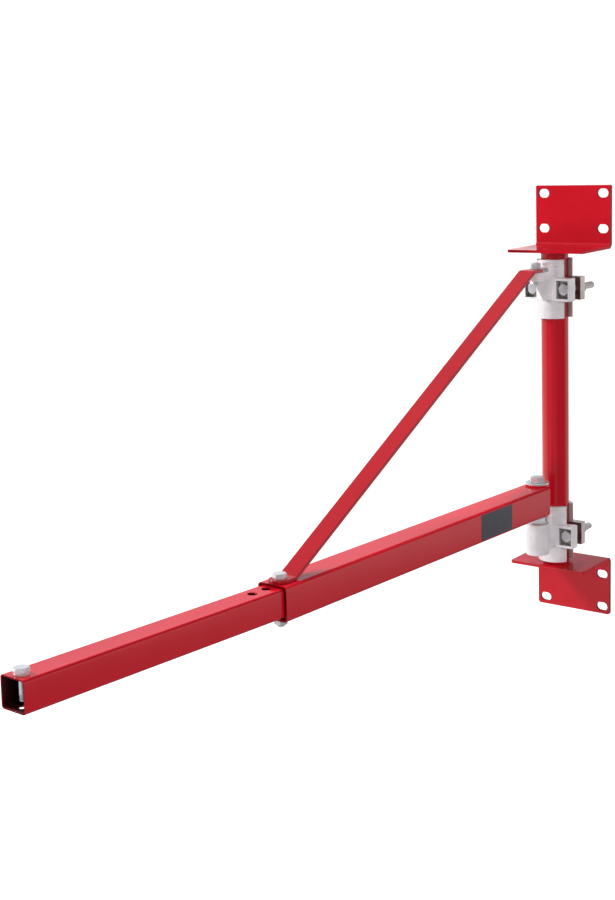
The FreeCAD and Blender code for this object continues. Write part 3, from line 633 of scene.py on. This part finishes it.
# ------------------------------------------------------------------ bare label on the outer tube's side
bm = bmesh.new()
half_l, half_h, rr, t = 49 * MM, 22.3 * MM, 2.5 * MM, 0.18 * MM
outline = []
for cx, cz, a0 in ((half_l - rr, half_h - rr, 0), (-half_l + rr, half_h - rr, 90), (-half_l + rr, -half_h + rr, 180), (half_l - rr, -half_h + rr, 270)):
    for q in range(7):
        a = math.radians(a0 + 15 * q)
        outline.append((cx + rr * math.cos(a), cz + rr * math.sin(a)))
front = [bm.verts.new((x, t, z)) for x, z in outline]
inner = [bm.verts.new((x * 0.994, t + 0.02 * MM, z * 0.988)) for x, z in outline]
back = [bm.verts.new((x, 0, z)) for x, z in outline]
bridge(bm, front, back)
bridge(bm, inner, front)
bm.faces.new(inner)
bmesh.ops.recalc_face_normals(bm, faces=bm.faces)
lab = mesh_object("side_label", bm, M_LABEL)
lab.data.transform(Matrix.Translation(Vector((SX, 0, 0))) @ Matrix.Rotation(SWING, 4, "Z") @ Matrix.Translation(Vector((0.179, 26.5 * MM, 0.20095 + 0.179 * math.tan(PITCH_O))))
                   @ Matrix.Rotation(-PITCH_O, 4, "Y"))
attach(lab, "jib")

# ------------------------------------------------------------------ weld bead between the pole and the upper leg
bm = bmesh.new()
seg, sec = 240, 10
loops = []
for i in range(seg):
    th = 2 * math.pi * i / seg
    ripple = 0.28 * math.sin(th * 46) + 0.22 * math.sin(th * 7 + 1.1)
    leg = (3.1 + ripple * 0.6) * MM
    loop = []
    for j in range(sec + 1):
        a = math.pi / 2 * j / sec
        bulge = 0.62 + 0.06 * math.sin(th * 46 + 2.0 * math.sin(a * 2))
        rad = 24.1 * MM + leg * (math.cos(a) ** (1 / 0.9)) * (0.75 + 0.25 * bulge)
        z = 643.05 * MM - leg * (math.sin(a) ** (1 / 0.9)) * (0.75 + 0.25 * bulge)
        loop.append(bm.verts.new((0.075 + rad * math.cos(th), rad * math.sin(th), z)))
    loops.append(loop)
for i in range(seg):
    a, b2 = loops[i], loops[(i + 1) % seg]
    for j in range(sec):
        bm.faces.new((a[j], b2[j], b2[j + 1], a[j + 1]))
bmesh.ops.recalc_face_normals(bm, faces=bm.faces)
bead = mesh_object("pole_weld", bm, M_RED, 60)
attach(bead, "wall_frame")

# ------------------------------------------------------------------ pale floor and soft studio light
bpy.ops.mesh.primitive_plane_add(size=120, location=(0, 0, -0.95))
floor = bpy.context.active_object
floor.name = "floor"
fm, fnt, fb = tree("pale_floor")
fn = noise(fnt, 0.6, 2.0, 0.5)
ft = ramp(fnt, fn.outputs["Fac"], [(0.3, (0.90, 0.90, 0.90)), (0.7, (0.92, 0.92, 0.92))])
fnt.links.new(ft.outputs["Color"], fb.inputs["Base Color"])
fb.inputs["Roughness"].default_value = 0.9
fb.inputs["Specular IOR Level"].default_value = 0.1
fb.inputs["Emission Color"].default_value = (1, 1, 1, 1)
fb.inputs["Emission Strength"].default_value = 0.75
floor.data.materials.append(fm)
floor.visible_glossy = False
floor.visible_diffuse = False

# soft studio surroundings: white round the horizon behind the arm, greys elsewhere, a dark flag high on the wall side
world = bpy.data.worlds.new("studio")
bpy.context.scene.world = world
world.use_nodes = True
wnt = world.node_tree
bg = wnt.nodes["Background"]
wtc = wnt.nodes.new("ShaderNodeTexCoord")
sep = wnt.nodes.new("ShaderNodeSeparateXYZ")
wnt.links.new(wtc.outputs["Generated"], sep.inputs["Vector"])


def spread(src, lo, hi, a=0.0, b=1.0):
    n = wnt.nodes.new("ShaderNodeMapRange")
    n.interpolation_type = "SMOOTHSTEP"
    n.inputs["From Min"].default_value = lo
    n.inputs["From Max"].default_value = hi
    n.inputs["To Min"].default_value = a
    n.inputs["To Max"].default_value = b
    wnt.links.new(src, n.inputs["Value"])
    return n.outputs["Result"]


def by_height(levels):
    half = wnt.nodes.new("ShaderNodeMapRange")
    half.inputs["From Min"].default_value = -1.0
    half.inputs["From Max"].default_value = 1.0
    wnt.links.new(sep.outputs["Z"], half.inputs["Value"])
    return ramp(wnt, half.outputs["Result"], [((math.sin(math.radians(e)) + 1) / 2, v if isinstance(v, tuple) else (v, v, v)) for e, v in levels]).outputs["Color"]


def towards(d):
    n = wnt.nodes.new("ShaderNodeVectorMath")
    n.operation = "DOT_PRODUCT"
    wnt.links.new(wtc.outputs["Generated"], n.inputs[0])
    n.inputs[1].default_value = Vector(d).normalized()
    return n.outputs["Value"]


behind = by_height([(-90, 0.30), (-25, 0.25), (-21, 0.30), (-18, 0.42), (-15, 0.75), (-3.2, 0.85), (-2.6, 1.05), (6.5, 1.05), (9, 0.47), (14, (0.49, 0.49, 0.54)), (18, (0.66, 0.72, 0.82)), (21, (0.80, 0.86, 0.98)), (35, 0.6), (90, 0.45)])
before = by_height([(-90, 0.45), (-25, 0.62), (-18, 0.58), (-10, 0.28), (-4, 0.13), (4, 0.15), (12, 0.35), (90, 0.45)])
beside = by_height([(-90, 0.45), (-45, 0.7), (-25, 1.1), (-12.5, 1.2), (-9.5, 0.8), (8, 0.8), (25, 0.5), (90, 0.45)])
before = mix_rgb(wnt, spread(sep.outputs["Y"], -0.82, -0.62), beside, before)
before = mix_rgb(wnt, spread(sep.outputs["Y"], 0.5, 0.75), before, by_height([(-90, 0.35), (-30, 0.3), (-22, 0.14), (4, 0.12), (12, 0.35), (90, 0.45)]))
col = mix_rgb(wnt, spread(sep.outputs["X"], -0.66, -0.36), behind, before)
flag = spread(towards((-0.80, 0.12, 0.60)), 0.74, 0.85, 1.0, 0.22)
for amount, how in ((flag, "MULTIPLY"),):
    g = wnt.nodes.new("ShaderNodeCombineColor")
    for c in ("Red", "Green", "Blue"):
        wnt.links.new(amount, g.inputs[c])
    col = mix_rgb(wnt, 1.0, col, g.outputs["Color"], how)
wnt.links.new(col, bg.inputs["Color"])
bg.inputs["Strength"].default_value = 1.0


def area(name, size, power, at, look, color=(1, 1, 1), shine=True):
    l = bpy.data.lights.new(name, "AREA")
    l.shape = "RECTANGLE"
    l.size, l.size_y = size
    l.energy = power
    l.color = color
    o = bpy.data.objects.new(name, l)
    bpy.context.scene.collection.objects.link(o)
    o.location = at
    o.rotation_euler = (Vector(look) - Vector(at)).to_track_quat("-Z", "Y").to_euler()
    o.visible_glossy = shine
    return o


area("key", (0.7, 0.7), 115, (1.72, -2.59, 2.365), (0.6, 0, 0.3))
area("fill_front", (1.6, 1.2), 35, (3.2, -0.7, -0.5), (0.2, 0, 0.3), shine=False)
area("fill_side", (1.8, 1.4), 53, (1.3, 3.2, 1.0), (0.5, 0, 0.3), shine=False)
spot = bpy.data.lights.new("fill_top", "SPOT")
spot.energy = 410
spot.spot_size = math.radians(26)
spot.spot_blend = 0.45
spot.shadow_soft_size = 0.25
so = bpy.data.objects.new("fill_top", spot)
bpy.context.scene.collection.objects.link(so)
so.location = (-1.6, -0.4, 2.1)
so.rotation_euler = (Vector((0.85, -0.02, 0.25)) - Vector(so.location)).to_track_quat("-Z", "Y").to_euler()
so.visible_glossy = False

sc = bpy.context.scene
sc.view_settings.view_transform = "Standard"
sc.view_settings.look = "None"
sc.view_settings.exposure = 0.0
sc.view_settings.gamma = 1.0
